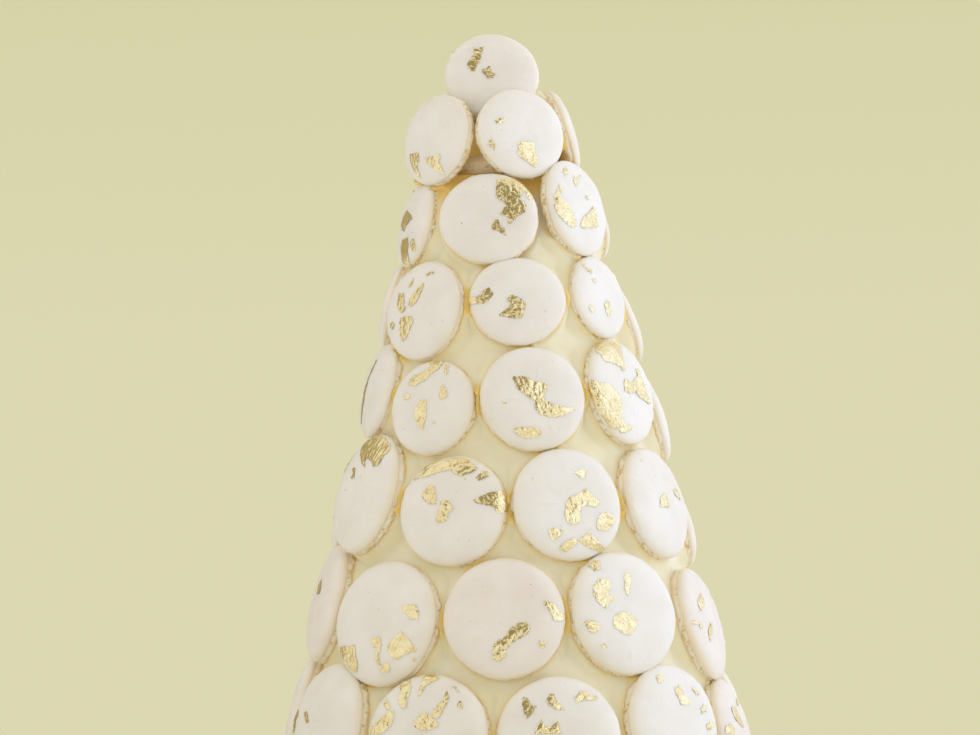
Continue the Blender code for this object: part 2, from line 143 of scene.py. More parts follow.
# The flakes that show on the front, for each shell. A flake is the outline of a patch: where each corner lies
# across and up, one corner after another, over the dome from its middle, in hundredths of the shell's radius.
FLAKES = {
    "macaron_top": (
        (-38, 62, -26, 57, -15, 62, -19, 48, -23, 32, -28, 20, -38, 2, -45, 7, -52, 19, -46, 31, -41, 37,
         -35, 43),
        (-21, 9, -12, 6, -5, 13, 0, 8, -1, -1, 8, -5, 1, -15, -8, -16, -15, -7, -20, -1),
        (-84, 63, -81, 67, -80, 60, -85, 60),
    ),
    "macaron_7_1": (
        (-58, -32, -27, -33, -23, -45, -27, -64, -21, -80, -15, -92, -28, -82, -45, -66, -56, -49),
        (-3, -46, 15, -44, 39, -38, 47, -49, 41, -54, 48, -64, 56, -81, 48, -82, 30, -72, 17, -62, 6, -56),
    ),
    "macaron_7_2": (
        (-67, 24, -58, 26, -48, 28, -42, 24, -53, 16, -64, 14, -66, 18),
        (-82, -19, -76, -18, -75, -25, -72, -32, -75, -43, -78, -36, -87, -32, -88, -27),
        (-22, -27, -9, -25, 14, -25, 18, -33, 16, -48, 24, -63, 21, -72, 16, -82, 6, -76, -4, -68, -13, -63,
         -21, -55, -26, -51, -20, -40),
    ),
    "macaron_6_1": (
        (-27, 29, 15, 17, 28, 7, 10, 2, -5, -8, -12, -21, -32, -18, -53, -3, -45, 16),
        (-17, -39, 25, -36, 36, -50, 34, -66, 37, -85, 30, -104, -17, -122, 1, -101, -8, -84, -18, -60),
        (47, -43, 61, -40, 69, -51, 71, -64, 63, -69, 51, -62, 46, -50),
        (-42, 79, -37, 81, -21, 75, -33, 74),
    ),
    "macaron_6_2": (
        (19, 85, 36, 86, 55, 91, 73, 79, 85, 66, 82, 55, 75, 54, 66, 38, 54, 40, 63, 36, 71, 31, 80, 22,
         78, 8, 68, 0, 57, -9, 48, -20, 42, -16, 45, -5, 36, 0, 27, 3, 34, 14, 39, 21, 34, 30, 24, 34,
         18, 46, 18, 60),
        (18, -10, 24, -9, 26, -20, 35, -27, 36, -37, 43, -46, 35, -43, 24, -34, 14, -32, 10, -25, 13, -16),
        (83, 67, 91, 52, 93, 38, 85, 36, 80, 44),
        (-51, -13, -49, -13, -49, -16, -51, -16),
    ),
    "macaron_6_3": (
        (-75, 36, -73, 23, -68, 12, -55, 4, -49, -10, -43, -25, -46, -44, -59, -45, -72, -36, -84, -27,
         -92, -15, -97, -4, -90, 10, -92, 21),
        (30, -2, 40, -9, 34, -24, 41, -38, 22, -47, -8, -47, -32, -47, -24, -35, -12, -24, 2, -21, 15, -13),
        (-8, 64, -4, 55, 19, 65, -2, 48, -16, 38, -14, 51),
        (-33, 79, -19, 83, -20, 74, -38, 59, -38, 67),
        (11, 22, 23, 19, 23, 12, 10, 13),
        (-66, 45, -61, 35, -62, 26, -70, 30),
    ),
    "macaron_5_2": (
        (9, 68, 20, 75, 32, 73, 35, 69, 23, 67, 17, 65),
        (-22, 64, -21, 54, -25, 44, -33, 43, -28, 53),
        (14, 51, 11, 37, 7, 24, 0, 12, -13, 3, -21, 7, -19, 21, -12, 31, -4, 38, 3, 48),
        (-57, 32, -40, 32, -33, 15, -34, 8, -27, 2, -30, -6, -40, -8, -53, 5, -56, 19),
        (-41, -19, -24, -15, -9, -16, 0, -27, -5, -37, -10, -51, -17, -62, -27, -66, -39, -53, -39, -36),
        (-74, -28, -64, -24, -56, -32, -60, -40, -71, -38),
    ),
    "macaron_5_3": (
        (-107, 13, -92, 9, -79, 11, -71, 22, -61, 28, -52, 15, -56, 5, -64, -2, -73, -9, -81, -5, -91, -7,
         -117, -7, -124, 7),
        (-27, 1, -14, 9, -1, 3, 14, -10, 11, -25, 4, -44, -8, -45, -24, -41, -41, -38, -40, -33, -23, -20,
         -15, -12),
    ),
    "macaron_5_4": (
        (-52, 82, -43, 83, -48, 73, -57, 71),
        (-48, 71, -31, 65, -29, 58, -41, 54, -49, 61),
        (-45, 39, -28, 41, -26, 29, -39, 32),
        (-74, -26, -62, -25, -55, -36, -63, -40, -72, -33),
        (-19, -22, -4, -12, 9, -16, 6, -30, 7, -41, -4, -53, -14, -49, -17, -36),
    ),
    "macaron_4_1": (
        (-9, 62, -1, 60, -25, 18, -20, -26, -12, -75, -20, -75, -32, -26, -34, 18),
    ),
    "macaron_4_3": (
        (-40, 38, -22, 40, -11, 35, 1, 28, 16, 28, 25, 21, 24, 10, 15, -2, 21, -10, 35, -17, 52, -22,
         78, -23, 74, -28, 58, -36, 41, -42, 24, -40, 8, -35, -1, -25, -3, -7, -16, 1, -28, 11, -35, 19),
        (-46, -61, -36, -58, -19, -58, 0, -59, 9, -70, -1, -78, -15, -80, -30, -77, -41, -68),
        (-62, -8, -54, -10, -55, -13, -61, -12),
    ),
    "macaron_4_2": (
        (-54, 47, -50, 58, -41, 67, -26, 72, -11, 79, -13, 95, -3, 101, 21, 103, 20, 87, 12, 75, -3, 67,
         -9, 56, -25, 49, -34, 42),
        (26, 92, 36, 91, 40, 75, 39, 65, 32, 71),
        (28, 39, 35, 44, 44, 32, 47, 19, 39, 14, 29, 16, 28, 28),
        (-63, 22, -54, 26, -43, 22, -46, 17, -59, 12, -62, 18),
        (-17, 13, -2, 13, 1, -5, 2, -23, -2, -41, -2, -52, -12, -44, -27, -26, -29, -5, -22, 4),
        (18, -34, 24, -32, 28, -36, 23, -39),
    ),
    "macaron_4_4": (
        (-113, 26, -97, 24, -85, 16, -63, 12, -50, 0, -44, -13, -42, -29, -47, -48, -40, -63, -18, -68,
         -22, -74, -44, -80, -60, -73, -79, -69, -92, -50, -103, -31, -115, -7, -118, 11),
        (-45, 109, -28, 98, 4, 99, 20, 86, 6, 72, 7, 60, 1, 45, 4, 40, -14, 35, -14, 45, -34, 51, -56, 56,
         -57, 69, -62, 79),
        (38, 38, 54, 40, 54, 18, 59, -5, 67, -29, 48, -26, 26, -16, 16, -5, -10, -7, -24, -2, -19, 12,
         -8, 22, 0, 14, 19, 15, 37, 25),
    ),
    "macaron_3_1": (
        (-44, 86, -31, 94, -13, 102, 29, 95, 56, 84, 62, 71, 57, 60, 54, 43, 40, 41, 24, 51, 8, 56, 5, 47,
         15, 37, -2, 44, -25, 62),
        (-62, 72, -70, 66, -80, 50, -86, 36, -78, 33, -72, 46, -66, 58),
        (-38, 36, -26, 39, -20, 28, -18, 21, -31, 20, -28, 28),
    ),
    "macaron_3_2": (
        (-79, 58, -62, 69, -60, 100, -21, 93, 1, 98, 21, 97, 39, 85, 49, 75, 40, 68, 30, 63, 18, 59, 6, 65,
         0, 72, -16, 70, -32, 66, -49, 61),
        (48, 57, 58, 71, 68, 72, 71, 61, 62, 56, 53, 50),
        (46, 16, 59, 23, 74, 30, 88, 33, 112, 46, 122, 20, 120, 0, 94, -7, 84, 3, 69, 7, 50, 10),
        (-54, 29, -40, 45, -29, 40, -26, 26, -24, 9, -37, 9, -46, 17, -54, 24),
        (-14, 14, -1, 15, 11, -1, 0, -8, -1, -22, -12, -25, -23, -23, -19, -8, -17, 4),
    ),
    "macaron_3_3": (
        (11, 52, 21, 56, 38, 60, 33, 48, 28, 41, 22, 42, 17, 49),
        (-10, 1, 2, 10, 18, 15, 32, 23, 41, 11, 55, -2, 45, -10, 29, -7, 16, -9, 13, -27, 14, -34, -1, -40,
         -13, -36, -15, -20),
        (53, -22, 67, -20, 78, -26, 82, -35, 73, -46, 59, -52, 44, -49, 42, -37, 47, -29),
        (-48, -45, -36, -44, -19, -51, -29, -59, -40, -67, -46, -60),
        (-31, -81, -20, -70, -3, -63, 7, -68, -3, -78, -16, -88, -27, -84),
        (7, -66, 17, -60, 27, -53, 38, -63, 49, -74, 65, -85, 46, -89, 30, -82, 16, -76),
    ),
    "macaron_3_4": (
        (-19, 3, 4, 12, 10, 7, 7, -4, 9, -13, -11, -14, -26, -12),
        (38, 13, 59, 19, 62, 7, 68, -2, 49, 1),
        (-36, 76, -31, 76, -33, 73, -38, 73),
    ),
    "macaron_2_1": (
        (-2, 9, -10, 23, 4, 36, 21, 25, 23, 12),
        (93, 73, 93, 79, 100, 75, 98, 69),
        (100, 57, 106, 57, 111, 51, 107, 50),
    ),
    "macaron_2_2": (
        (45, 24, 57, 26, 72, 28, 80, 15, 81, 5, 67, 5, 60, 11),
        (53, -15, 68, -26, 79, -36, 75, -45, 62, -52, 49, -59, 37, -53, 30, -40, 35, -31),
        (-7, -28, 12, -25, 17, -35, 16, -46, 12, -52, 16, -62, 23, -72, 16, -75, 9, -62, 5, -54, 11, -41,
         0, -40),
        (20, -80, 23, -68, 31, -64, 37, -73, 32, -80),
        (-81, -42, -59, -42, -39, -38, -36, -55, -31, -68, -35, -83, -52, -78, -65, -69, -77, -56),
        (74, -44, 82, -39, 83, -43, 78, -48),
        (75, -58, 79, -55, 82, -59, 79, -63),
    ),
    "macaron_2_3": (
        (4, -31, 10, -20, 24, -12, 39, -10, 44, -20, 39, -30, 29, -35, 20, -40, 10, -46, 3, -54, 3, -66,
         -9, -74, -20, -67, -18, -49, -13, -39, -3, -38),
        (64, 23, 75, 24, 85, 19, 93, 7, 122, 1, 96, -8, 85, -9, 78, 5, 70, 15),
        (57, -40, 65, -42, 69, -52, 59, -54),
    ),
    "macaron_2_4": (
        (-60, 84, -47, 90, -39, 84, -41, 71, -52, 68, -56, 75),
        (-62, 45, -49, 54, -34, 53, -31, 41, -40, 31, -29, 24, -39, 15, -50, 5, -57, 13, -64, 22, -66, 32),
        (0, 59, 11, 62, 11, 50, 5, 37, 1, 24, -5, 29, -4, 44),
        (-38, -10, -23, -2, -7, -3, 7, -16, 3, -30, -12, -40, -29, -33, -41, -23),
        (-91, -12, -79, -10, -65, -19, -68, -28, -80, -29, -87, -19),
        (-69, -51, -61, -48, -57, -54, -64, -56),
    ),
    "macaron_2_5": (
        (-52, 37, -22, 50, -13, 41, -24, 29, -51, 20, -58, 27),
        (-98, 5, -83, 8, -76, 1, -90, 0),
        (-44, -15, -19, -4, -7, -7, -36, -26, -50, -36, -55, -28),
        (-73, 0, -68, -5, -75, -9, -78, -4),
    ),
    "macaron_1_2": (
        (-45, 18, -37, 20, -22, 4, -30, 0, -36, 6),
        (-90, -4, -89, 10, -80, 21, -68, 16, -74, 5, -70, -11, -77, -18),
    ),
    "macaron_1_3": (
        (-37, 92, -41, 109, -26, 71, -30, 60, -29, 46, -36, 41, -46, 52, -44, 69, -62, 101),
        (-13, 65, -10, 80, -11, 118, 13, 98, 18, 94, 9, 86, -1, 80, -5, 71, -12, 60),
        (14, 35, 21, 46, 29, 57, 34, 72, 40, 61, 37, 49, 29, 33, 24, 26, 17, 28),
        (-16, 18, -6, 32, 5, 36, 17, 26, 28, 16, 21, 11, 5, 6, -10, 10),
        (-95, 12, -82, 22, -66, 35, -51, 40, -50, 29, -54, 13, -69, 2, -90, -1, -96, 3),
        (-73, 50, -69, 60, -63, 51, -59, 41, -67, 41),
        (55, 46, 55, 56, 61, 55, 64, 41),
        (39, 82, 46, 82, 58, 68, 52, 72),
    ),
    "macaron_1_4": (
        (-59, 57, -56, 69, -50, 65, -44, 52, -37, 50, -44, 40, -53, 30, -57, 40),
        (-21, 58, -14, 70, -7, 69, -6, 60, 1, 50, 9, 41, -5, 43, -17, 51),
        (27, 61, 35, 72, 44, 73, 53, 65, 68, 63, 56, 57, 42, 57, 28, 53),
        (-43, 11, -30, 30, -26, 15, -4, 24, -4, 12, 1, 4, -22, 4, -42, 5),
    ),
    "macaron_1_5": (
        (-33, 80, -20, 84, -20, 73, -31, 68),
        (-2, 59, 14, 60, 13, 48, 26, 40, 28, 32, 4, 29, 1, 42, -3, 51),
        (41, 55, 51, 53, 54, 42, 44, 45),
        (50, 22, 65, 27, 66, 16, 50, 13),
        (55, -8, 72, 0, 81, -4, 66, -15, 55, -14),
    ),
    "macaron_1_6": (
        (-39, 46, -8, 45, -5, 24, 7, 7, -16, 11, -48, 28),
        (-93, 21, -74, 19, -59, 8, -70, 1, -97, 7),
        (15, 56, 53, 52, 22, 44, 3, 47),
    ),
}

# The shells that carry no leaf but crumbs
BARE = {
    "macaron_flat", "macaron_1_1", "macaron_3_5", "macaron_4_5", "macaron_5_1", "macaron_5_5", "macaron_7_3",
}

# The tints of the caps, as their light and dark colours and the painted warm shade on their rolled rim, and
# the shells that are rosier or paler. The warm tint, for the flat shell, is painted bounce light, lighter and
# warmer to make up for the shade it sits in. At the back, where a shell's number ends so, the tint is drawn
# by chance.
CAP_TINTS = {
    "plain": ((0.88, 0.86, 0.825), (0.84, 0.81, 0.765), (0.87, 0.76, 0.50)),
    "rosy": ((0.88, 0.84, 0.80), (0.84, 0.785, 0.735), (0.87, 0.76, 0.50)),
    "pale": ((0.895, 0.88, 0.855), (0.86, 0.84, 0.805), (0.87, 0.76, 0.50)),
    # Painted bounce light: the flat shell's cap is lighter and warmer to make up for the shade it sits in
    "warm": ((0.98, 0.87, 0.68), (0.97, 0.81, 0.55), (0.97, 0.78, 0.42)),
}
ROSY = {
    "macaron_2_1", "macaron_2_3", "macaron_2_5", "macaron_1_6", "macaron_3_5", "macaron_7_3", "macaron_5_5",
}
PALE = {
    "macaron_3_3", "macaron_2_4", "macaron_4_4", "macaron_6_3", "macaron_7_2", "macaron_5_4", "macaron_1_5",
}
BACK_NUMBERS = ("7", "8", "9", "10", "11")
BACK_TINTS = ["plain", "plain", "pale", "rosy"]

# The other colours, those along a value as (position, colour) pairs
SPECKS = ((0.73, (1, 1, 1)), (0.80, (0.78, 0.70, 0.56)))
FOOT_BODY = ((0.3, (0.90, 0.81, 0.62)), (0.5, (0.91, 0.85, 0.72)), (0.7, (0.92, 0.885, 0.81)))
# The painted shade in the foot's burst bubbles and along its lower edge against the icing
FOOT_PAINTED_SHADE = (0.75, 0.54, 0.20)
ICING_BODY = ((0.3, (0.86, 0.80, 0.56)), (0.7, (0.895, 0.86, 0.69)))
# The icing's painted golden shade where it meets the shells and in the hollow at the cone's top
ICING_PAINTED_SEAM_SHADE = (0.79, 0.56, 0.16)
# The colour of the icing's painted glow where it meets the shells
PAINTED_GLOW_COLOUR = (1.0, 0.64, 0.17)
GOLD_BROAD = ((0.38, (0.84, 0.70, 0.38)), (0.62, (0.94, 0.85, 0.54)))
# The gold's creases: painted shade and painted glints, darker and lighter than the metal along them
GOLD_CREASE_PAINTED_GLINT_AND_SHADE = ((0.34, (0.62, 0.48, 0.22)), (0.46, (0.92, 0.81, 0.51)), (0.62, (1.0, 0.93, 0.65)))
PLATE_GLAZE = ((0.35, (0.83, 0.81, 0.75)), (0.65, (0.87, 0.855, 0.80)))
FLOOR_COLOUR = (0.74, 0.71, 0.56)
SUBSURFACE_REACH = (1.0, 0.75, 0.45)

# The floor: how far it reaches, where it starts to fade, and how far from its rim it has faded, in metres
FLOOR_RADIUS = 0.43
FLOOR_FADE = 0.2
FLOOR_HEM = 0.005
FLOOR_COLUMNS = 96

# The wall's colours as they show, low and high, where one turns into the other, and the light that it gives
WALL = (0.719, 0.685, 0.44)
WALL_HIGH = (0.68, 0.651, 0.398)
WALL_BAND = (0.01, 0.09)
GLOW = (0.895, 0.855, 0.775)
# What the gold mirrors: the glow, but for these parts of the room, as (direction, edge, middle, colour)
ROOM_PARTS = (
    ((-0.07, -0.76, 0.64), 0.83, 0.95, (0.33, 0.28, 0.155)),
    ((-0.61, 0.73, 0.29), 0.72, 0.94, (0.45, 0.38, 0.22)),
    ((0.62, -0.66, 0.42), 0.90, 0.98, (1.10, 1.12, 1.15)),
    ((0.96, 0.0, 0.28), 0.60, 0.97, (1.09, 1.17, 1.38)),
)

# The window's light, and the camera
WINDOW_PLACE = (2.1, 0.0, 0.4)
WINDOW_AIM = (0, 0, 0.18)
WINDOW_POWER = 19.5
WINDOW_SIZE = 1.5
WINDOW_COLOUR = (0.56, 0.68, 1.0)
CAMERA_PLACE = (-7.5 * MM, -1.8, 198 * MM)
CAMERA_ROLL = math.radians(1.53)
CAMERA_LENS = 150.1
CAMERA_SENSOR = 36


# Noise

def lattice(cell, seed):
    """A fixed number from -1 to 1 for each whole-numbered cell."""
    mixed = (cell * np.array([73856093, 19349663, 83492791])).sum(axis=-1) + seed * 40503
    mixed = ((mixed ^ (mixed >> 13)) * 1274126177) & 0x7FFFFFFF
    mixed = ((mixed ^ (mixed >> 11)) * 668265263) & 0x7FFFFFFF
    return mixed / 0x3FFFFFFF - 1.0


def noise(points, size, seed):
    """Smooth noise from -1 to 1 at each point, with bumps of about this size."""
    place = np.asarray(points) / size
    cell = np.floor(place).astype(np.int64)
    ease = place - cell
    ease = ease * ease * (3 - 2 * ease)
    total = np.zeros(len(place))
    for corner in np.ndindex(2, 2, 2):
        weight = np.prod(np.where(np.array(corner) > 0, ease, 1 - ease), axis=1)
        total += lattice(cell + np.array(corner), seed) * weight
    return total


def crumple(points, size, seed):
    """How far each point is from the nearest crease, in cells. Creases bound cells of about this size."""
    place = np.asarray(points) / size
    cell = np.floor(place).astype(np.int64)
    middles = []
    for step in np.ndindex(3, 3, 3):
        near_cell = cell + np.array(step) - 1
        slip = [lattice(near_cell, seed + 31 * k) * 0.5 + 0.5 for k in range(3)]
        middles.append(near_cell + np.stack(slip, axis=1))
    middles = np.stack(middles, axis=1)
    away = np.linalg.norm(middles - place[:, None, :], axis=2)
    every = np.arange(len(place))
    own = np.argmin(away, axis=1)
    first = middles[every, own][:, None, :]
    line = middles - first
    length = np.linalg.norm(line, axis=2)
    length[every, own] = 1.0
    to_crease = (((middles + first) / 2 - place[:, None, :]) * line).sum(axis=2) / length
    to_crease[every, own] = np.inf
    return to_crease.min(axis=1)


def step_up(value, low, high):
    """0 below low, 1 above high, and a smooth rise between them."""
    share = np.clip((value - low) / (high - low), 0, 1)
    return share * share * (3 - 2 * share)


# Meshes

def grid_faces(rows, columns):
    """The faces of a grid that closes on itself across its columns."""
    first = np.arange(rows - 1)[:, None] * columns + np.arange(columns)[None, :]
    beside = np.arange(rows - 1)[:, None] * columns + (np.arange(columns)[None, :] + 1) % columns
    return np.stack([first, first + columns, beside + columns, beside], axis=-1).reshape(-1, 4)


def make_mesh(name, points, faces, materials, indices=None, flat=False):
    """An object from points and faces, which rides on the tower."""
    mesh = bpy.data.meshes.new(name)
    mesh.from_pydata([tuple(p) for p in points], [], [tuple(int(i) for i in face) for face in faces])
    for made in materials:
        mesh.materials.append(made)
    if indices is not None:
        mesh.polygons.foreach_set("material_index", np.asarray(indices, dtype=np.int32))
    mesh.polygons.foreach_set("use_smooth", np.full(len(mesh.polygons), not flat))
    mesh.update()
    made = bpy.data.objects.new(name, mesh)
    bpy.context.scene.collection.objects.link(made)
    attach(made, "root")
    return made


def add_value(obj, name, values):
    """Keeps one number for each vertex, which the material reads."""
    stored = obj.data.attributes.new(name, "FLOAT", "POINT")
    stored.data.foreach_set("value", np.asarray(values, dtype=np.float32))


# Where each shell sits

Seat = namedtuple("Seat", "centre across up normal width height radius seed lobes")


def seat_of(node):
    """The middle of the solid shell's flat back, the way it faces, and its size."""
    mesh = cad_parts[node].data
    points = np.array([v.co[:] for v in mesh.vertices])
    normals = np.array([f.normal[:] for f in mesh.polygons])
    areas = np.array([f.area for f in mesh.polygons])
    centres = np.array([f.center[:] for f in mesh.polygons])
    alike = normals @ normals.T > 0.9999
    back = alike[np.argmax(alike @ areas)]
    normal = -(normals[back] * areas[back, None]).sum(axis=0)
    normal /= np.linalg.norm(normal)
    centre = (centres[back] * areas[back, None]).sum(axis=0) / areas[back].sum()
    up = UP - (UP @ normal) * normal
    if np.linalg.norm(up) < 0.01:
        up = np.array([0.0, 1.0, 0.0])
    up /= np.linalg.norm(up)
    across = np.cross(up, normal)
    width = np.ptp(points @ across) / SOLID_FRILL * SHELL_GROWTH
    height = np.ptp(points @ up) / SOLID_FRILL * SHELL_GROWTH
    seed = sum(ord(letter) * (i + 3) for i, letter in enumerate(node))
    return Seat(centre, across, up, normal, width, height, (width + height) / 4, seed, lobes_of(seed))


def lobes_of(seed):
    """How a shell's outline departs from an ellipse, as (lobes round it, share of the radius, turn)."""
    rng = np.random.default_rng(seed)
    return [(count, rng.uniform(0.3, 1) * share, rng.uniform(0, 2 * np.pi)) for count, share in LOBES]


def shell_outline():
    """The outline of a shell of radius 1, as how far over the surface, radius and height."""
    rolled = 1 - 0.1 * np.linspace(1, 0, DOME_STEPS) ** 2
    radius = np.concatenate([np.linspace(0, 0.9, DOME_STEPS), rolled])
    dome = DOME_START + (1 - DOME_START) * np.sqrt(np.clip(1 - radius ** DOME_POWER, 0, 1))
    radius = np.append(radius, [r for r, _ in FOOT_OUTLINE])
    height = np.append(dome, [h for _, h in FOOT_OUTLINE]) * THICKNESS_PER_RADIUS
    over = np.append(0, np.cumsum(np.hypot(np.diff(radius), np.diff(height))))
    return over, radius, height


# How far over the surface the dome's rim, the foot's top and the foot's end are, in shell radii
OVER, OUTLINE_RADIUS, OUTLINE_HEIGHT = shell_outline()
RIM_OVER = OVER[2 * DOME_STEPS - 1]
FOOT_OVER = OVER[2 * DOME_STEPS + 1]
END_OVER = OVER[-1]
# The rows of a shell's mesh: over the dome, its rolled edge, the groove below it, and the foot
SHELL_ROWS = np.concatenate([
    np.linspace(0.06, 0.86, 13),
    np.linspace(0.91, RIM_OVER, 7),
    np.linspace(RIM_OVER + 0.02, FOOT_OVER, 3),
    np.linspace(FOOT_OVER + 0.02, END_OVER, 8),
])


def on_shell(seat, over, around, lift=0.0):
    """Points on the shell's surface, lifted off it, from how far over it and which way they lie."""
    radius = np.interp(over, OVER, OUTLINE_RADIUS)
    height = np.interp(over, OVER, OUTLINE_HEIGHT)
    after, before = over + SLOPE_STEP, over - SLOPE_STEP
    ahead_radius = np.interp(after, OVER, OUTLINE_RADIUS) - np.interp(before, OVER, OUTLINE_RADIUS)
    ahead_height = np.interp(after, OVER, OUTLINE_HEIGHT) - np.interp(before, OVER, OUTLINE_HEIGHT)
    length = np.hypot(ahead_radius, ahead_height) + 1e-9
    side_lift = lift * -ahead_height / length
    top_lift = lift * ahead_radius / length
    radius = radius * (1 + sum(share * np.cos(count * around + turn) for count, share, turn in seat.lobes))
    sideways = np.cos(around) * (radius * seat.width / 2 + side_lift)
    upward = np.sin(around) * (radius * seat.height / 2 + side_lift)
    outward = height * seat.radius + top_lift
    return (
        seat.centre
        + sideways[:, None] * seat.across
        + upward[:, None] * seat.up
        + outward[:, None] * seat.normal
    )


# The shells

def dome_lumps(points, over, seed):
    """How far the baked cap is swollen, dented or pimpled at each point."""
    lumps = DOME_LUMP * noise(points, 11 * MM, seed) + DOME_LUMP / 4 * noise(points, 3.5 * MM, seed + 1)
    dents = DOME_DENT * step_up(noise(points, 3.5 * MM, seed + 2), 0.55, 0.8)
    pimples = DOME_PIMPLE * step_up(noise(points, 2.6 * MM, seed + 7), 0.45, 0.8)
    pimples *= step_up(noise(points, 15 * MM, seed + 8), 0.05, 0.4)
    return (lumps - dents + pimples) * step_up(RIM_OVER + 0.06 - over, 0.0, 0.12)


def shell_warp(points, seed):
    """How far the whole shell, cap and foot, is bent out of shape at each point."""
    return SHELL_WARP * noise(points, 7 * MM, seed + 6)


def foot_relief(points, over, seed):
    """The foot's ruffles, and how deep its little burst bubbles go."""
    in_foot = step_up(over, FOOT_OVER - 0.02, FOOT_OVER + 0.03)
    ruffle = FOOT_RUFFLE * (noise(points, 1.9 * MM, seed + 3) + 0.7 * noise(points, 0.9 * MM, seed + 4))
    pits = step_up(noise(points, 1.0 * MM, seed + 5), 0.28, 0.58) * in_foot
    return ruffle * in_foot - FOOT_PIT * pits, pits


def shell_faces():
    """The faces of a shell's mesh, and the material of each: 0 for the cap, 1 for the foot and the back."""
    rows = len(SHELL_ROWS) + len(BACK_RINGS)
    cap_rows = np.count_nonzero(SHELL_ROWS[1:] < FOOT_OVER + 0.001)
    faces = [tuple(face) for face in grid_faces(rows, SHELL_COLUMNS)]
    indices = np.repeat([0] * cap_rows + [1] * (rows - 1 - cap_rows), SHELL_COLUMNS).tolist()
    last = (rows - 1) * SHELL_COLUMNS
    top = rows * SHELL_COLUMNS
    bottom = top + 1
    for i in range(SHELL_COLUMNS):
        j = (i + 1) % SHELL_COLUMNS
        faces.append((top, i, j))
        faces.append((bottom, last + j, last + i))
        indices += [0, 1]
    return faces, indices


def make_shell(node, seat, caps, foot):
    """One fine shell in the place of its solid: the cap, the foot, and a flat crumbly back."""
    over = np.repeat(SHELL_ROWS, SHELL_COLUMNS)
    turn = np.tile(np.linspace(0, 2 * np.pi, SHELL_COLUMNS, endpoint=False), len(SHELL_ROWS))
    smooth = on_shell(seat, over, turn)
    relief, pits = foot_relief(smooth, over, seat.seed)
    lift = dome_lumps(smooth, over, seat.seed) + relief + shell_warp(smooth, seat.seed)
    front = on_shell(seat, over, turn, lift)
    rim = front[-SHELL_COLUMNS:]
    rim -= ((rim - seat.centre) @ seat.normal)[:, None] * seat.normal
    back = np.concatenate([seat.centre + (rim - seat.centre) * share for share in BACK_RINGS])
    back += (BACK_CRUMB * (1 + noise(back, 2.5 * MM, seat.seed + 9)))[:, None] * seat.normal
    tip = on_shell(seat, np.zeros(1), np.zeros(1), dome_lumps(seat.centre[None, :], np.zeros(1), seat.seed))
    points = np.concatenate([front, back, tip, seat.centre[None, :]])
    faces, indices = shell_faces()
    shell = make_mesh(node.replace("macaron", "shell"), points, faces, [caps, foot], indices)
    plain = np.zeros(len(back) + 2)
    # Painted shade along the foot's lower edge, where it meets the icing, and in its burst bubbles
    low = step_up(over + 0.03 * noise(smooth, 4 * MM, seat.seed + 11), END_OVER - 0.14, END_OVER - 0.08)
    add_value(shell, "pit_and_edge_painted_shade", np.concatenate([np.maximum(pits, 0.55 * low), plain]))
    # Painted warm shade on the rolled rim and groove, golden as with light coming through the shell
    rim_painted_shade = step_up(over, RIM_OVER - 0.2, FOOT_OVER) * (0.42 + 0.3 * noise(smooth, 9 * MM, seat.seed + 10))
    add_value(shell, "rim_painted_shade", np.concatenate([rim_painted_shade, plain]))
    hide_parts(node)


def tint_of(node, rng):
    """The tint of a shell's cap, which is drawn by chance at the back."""
    # The flat shell gets the warm tint: painted bounce light that makes up for the shade it sits in
    if node == "macaron_flat":
        return "warm"
    if node in ROSY:
        return "rosy"
    if node in PALE:
        return "pale"
    if node.endswith(BACK_NUMBERS):
        return rng.choice(BACK_TINTS)
    return "plain"


# The icing

def icing_outline():
    """The radius and height of evenly spaced points from the cone's foot to the mound's tip."""
    shoulder = CONE_TOP - 7 * MM
    corners = [
        (CONE_FOOT_RADIUS + 3.5 * MM, PLATE_THICKNESS - 0.4 * MM),
        (CONE_FOOT_RADIUS + 1.0 * MM, PLATE_THICKNESS + 1.0 * MM),
        (CONE_FOOT_RADIUS - 3.5 * MM * CONE_SLOPE, PLATE_THICKNESS + 3.5 * MM),
        (CONE_FOOT_RADIUS - (shoulder - PLATE_THICKNESS) * CONE_SLOPE, shoulder),
        (28.2 * MM, CONE_TOP - 0.6 * MM),
        (MOUND_NECK_RADIUS + 0.5 * MM, CONE_TOP + 0.2 * MM),
        (MOUND_NECK_RADIUS, CONE_TOP + 2 * MM),
        (MOUND_NECK_RADIUS, MOUND_BULGE - 2.5 * MM),
        (MOUND_RADIUS, MOUND_BULGE),
    ]
    rise = MOUND_TOP - MOUND_BULGE
    for turn in np.radians(np.linspace(4, 90, 22)):
        share = math.sin(turn)
        radius = MOUND_RADIUS * math.sqrt(max(0.0, 1 - share ** MOUND_POWER))
        corners.append((radius, MOUND_BULGE + rise * share))
    corners = np.array(corners)
    along = np.append(0, np.cumsum(np.hypot(*np.diff(corners, axis=0).T)))
    steps = np.linspace(0, along[-1], int(along[-1] / ICING_STEP))
    return np.interp(steps, along, corners[:, 0]), np.interp(steps, along, corners[:, 1])


def icing_grid():
    """The radius, height and bearing of every point of the icing before it swells."""
    radius, height = icing_outline()
    bearing = np.linspace(0, 2 * np.pi, ICING_COLUMNS, endpoint=False)
    return np.repeat(radius, ICING_COLUMNS), np.repeat(height, ICING_COLUMNS), np.tile(bearing, len(radius))


def icing_centre(height):
    """The mound sits a little to one side of the cone's axis."""
    return MOUND_CENTRE_X * step_up(height, CONE_TOP - 12 * MM, CONE_TOP + 4 * MM)


